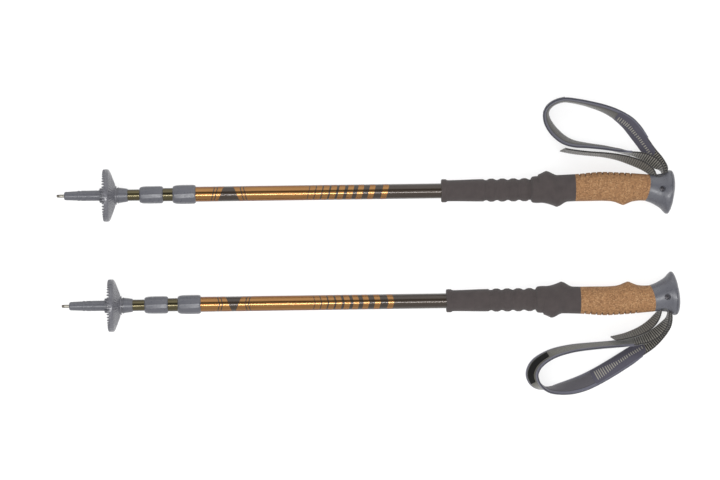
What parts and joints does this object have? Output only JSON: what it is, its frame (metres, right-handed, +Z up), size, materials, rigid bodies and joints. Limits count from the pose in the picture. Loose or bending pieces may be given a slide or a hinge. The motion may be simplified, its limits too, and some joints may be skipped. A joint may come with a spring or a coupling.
{
  "type": "trekking poles",
  "caption": "Pair of collapsed telescoping twist-lock trekking poles with cork and foam grips, toothed baskets and padded wrist straps.",
  "frame": {"origin": "bottom centre of the pair's bounding box, on the ground that the poles lie on", "axes": "+X along the poles from tip to head, +Y from the right pole to the left pole, +Z up"},
  "size_m": [0.6596, 0.3156, 0.0559],
  "materials": {
    "carbide": "dark sintered hard metal",
    "tip_steel": "turned steel",
    "grey_plastic": "moulded grey plastic, fine grain",
    "basket_plastic": "moulded grey plastic with fine ribs",
    "olive_anodised": "anodised dark olive",
    "printed_gold": "gold anodised with dark printed chevrons",
    "nylon": "natural nylon",
    "brass": "turned brass",
    "dark_plastic": "dark moulded plastic",
    "foam": "closed-cell foam, brown grey",
    "cork": "pressed cork granules",
    "webbing": "ribbed black and grey webbing",
    "pad_fabric": "soft grey-blue band with dark bound edges",
    "label_fabric": "plain black woven label"
  },
  "bodies": {
    "left_handle": {"left_upper_shaft": "printed_gold", "left_upper_collar": "grey_plastic", "left_foam_grip": "foam", "left_cork_grip": "cork", "left_grip_head": "grey_plastic", "left_strap_pin": "tip_steel", "left_strap_webbing": "webbing", "left_wrist_pad": "pad_fabric", "left_strap_label": "label_fabric"},
    "left_wedge": {"left_strap_wedge": "dark_plastic"},
    "left_middle_lock": {"left_middle_expander": "dark_plastic"},
    "left_middle_nut": {"left_middle_cone_nut": "brass"},
    "left_middle_section": {"left_middle_shaft": "olive_anodised", "left_middle_plug": "nylon", "left_lower_collar": "grey_plastic"},
    "left_lower_lock": {"left_lower_expander": "dark_plastic"},
    "left_lower_nut": {"left_lower_cone_nut": "brass"},
    "left_lower_section": {"left_lower_shaft": "olive_anodised", "left_lower_plug": "nylon", "left_flex_tip": "grey_plastic", "left_tip_ferrule": "tip_steel", "left_carbide_tip": "carbide"},
    "left_basket_body": {"left_basket": "basket_plastic"},
    "right_handle": {"right_upper_shaft": "printed_gold", "right_upper_collar": "grey_plastic", "right_foam_grip": "foam", "right_cork_grip": "cork", "right_grip_head": "grey_plastic", "right_strap_pin": "tip_steel", "right_strap_webbing": "webbing", "right_wrist_pad": "pad_fabric", "right_strap_label": "label_fabric"},
    "right_wedge": {"right_strap_wedge": "dark_plastic"},
    "right_middle_lock": {"right_middle_expander": "dark_plastic"},
    "right_middle_nut": {"right_middle_cone_nut": "brass"},
    "right_middle_section": {"right_middle_shaft": "olive_anodised", "right_middle_plug": "nylon", "right_lower_collar": "grey_plastic"},
    "right_lower_lock": {"right_lower_expander": "dark_plastic"},
    "right_lower_nut": {"right_lower_cone_nut": "brass"},
    "right_lower_section": {"right_lower_shaft": "olive_anodised", "right_lower_plug": "nylon", "right_flex_tip": "grey_plastic", "right_tip_ferrule": "tip_steel", "right_carbide_tip": "carbide"},
    "right_basket_body": {"right_basket": "basket_plastic"}
  },
  "joints": [
    {"name": "left_middle_slide", "type": "slide", "parent": "left_handle", "child": "left_middle_lock", "axis": [-0.9999, 0, 0.015], "range_m": [-0.0095, 0.345]},
    {"name": "left_middle_twist", "type": "hinge", "parent": "left_middle_lock", "child": "left_middle_section", "pos_m": [0.21519, 0.06026, 0.02054], "axis": [-0.9999, 0, 0.015], "range_deg": [0, 360]},
    {"name": "left_middle_nut_travel", "type": "slide", "parent": "left_middle_lock", "child": "left_middle_nut", "axis": [0.9999, 0, -0.015], "range_m": [0, 0.00101]},
    {"name": "left_lower_slide", "type": "slide", "parent": "left_middle_section", "child": "left_lower_lock", "axis": [-0.9999, 0, 0.015], "range_m": [-0.0115, 0.345]},
    {"name": "left_lower_twist", "type": "hinge", "parent": "left_lower_lock", "child": "left_lower_section", "pos_m": [0.1452, 0.06026, 0.02159], "axis": [-0.9999, 0, 0.015], "range_deg": [0, 360]},
    {"name": "left_lower_nut_travel", "type": "slide", "parent": "left_lower_lock", "child": "left_lower_nut", "axis": [0.9999, 0, -0.015], "range_m": [0, 0.00101]},
    {"name": "left_basket_off", "type": "slide", "parent": "left_lower_section", "child": "left_basket_body", "axis": [-0.9999, 0, 0.015], "range_m": [0, 0.07]},
    {"name": "left_wedge_slide", "type": "slide", "parent": "left_handle", "child": "left_wedge", "axis": [0, 1, 0], "range_m": [0, 0.003]},
    {"name": "right_pole_lift", "type": "slide", "parent": "left_handle", "child": "right_handle", "axis": [0, 0, 1], "range_m": [0, 0.15]},
    {"name": "right_middle_slide", "type": "slide", "parent": "right_handle", "child": "right_middle_lock", "axis": [-0.9999, 0, 0.015], "range_m": [-0.0095, 0.345]},
    {"name": "right_middle_twist", "type": "hinge", "parent": "right_middle_lock", "child": "right_middle_section", "pos_m": [0.21889, -0.05654, 0.02054], "axis": [-0.9999, 0, 0.015], "range_deg": [0, 360]},
    {"name": "right_middle_nut_travel", "type": "slide", "parent": "right_middle_lock", "child": "right_middle_nut", "axis": [0.9999, 0, -0.015], "range_m": [0, 0.00101]},
    {"name": "right_lower_slide", "type": "slide", "parent": "right_middle_section", "child": "right_lower_lock", "axis": [-0.9999, 0, 0.015], "range_m": [-0.0115, 0.345]},
    {"name": "right_lower_twist", "type": "hinge", "parent": "right_lower_lock", "child": "right_lower_section", "pos_m": [0.1489, -0.05654, 0.02159], "axis": [-0.9999, 0, 0.015], "range_deg": [0, 360]},
    {"name": "right_lower_nut_travel", "type": "slide", "parent": "right_lower_lock", "child": "right_lower_nut", "axis": [0.9999, 0, -0.015], "range_m": [0, 0.00101]},
    {"name": "right_basket_off", "type": "slide", "parent": "right_lower_section", "child": "right_basket_body", "axis": [-0.9999, 0, 0.015], "range_m": [0, 0.07]},
    {"name": "right_wedge_slide", "type": "slide", "parent": "right_handle", "child": "right_wedge", "axis": [0, -1, 0], "range_m": [0, 0.003]}
  ],
  "couplings": [
    {"joint": "left_middle_nut_travel", "follows": "left_middle_twist", "m_per_rad": 0.00015915},
    {"joint": "left_lower_nut_travel", "follows": "left_lower_twist", "m_per_rad": 0.00015915},
    {"joint": "right_middle_nut_travel", "follows": "right_middle_twist", "m_per_rad": 0.00015915},
    {"joint": "right_lower_nut_travel", "follows": "right_lower_twist", "m_per_rad": 0.00015915}
  ]
}
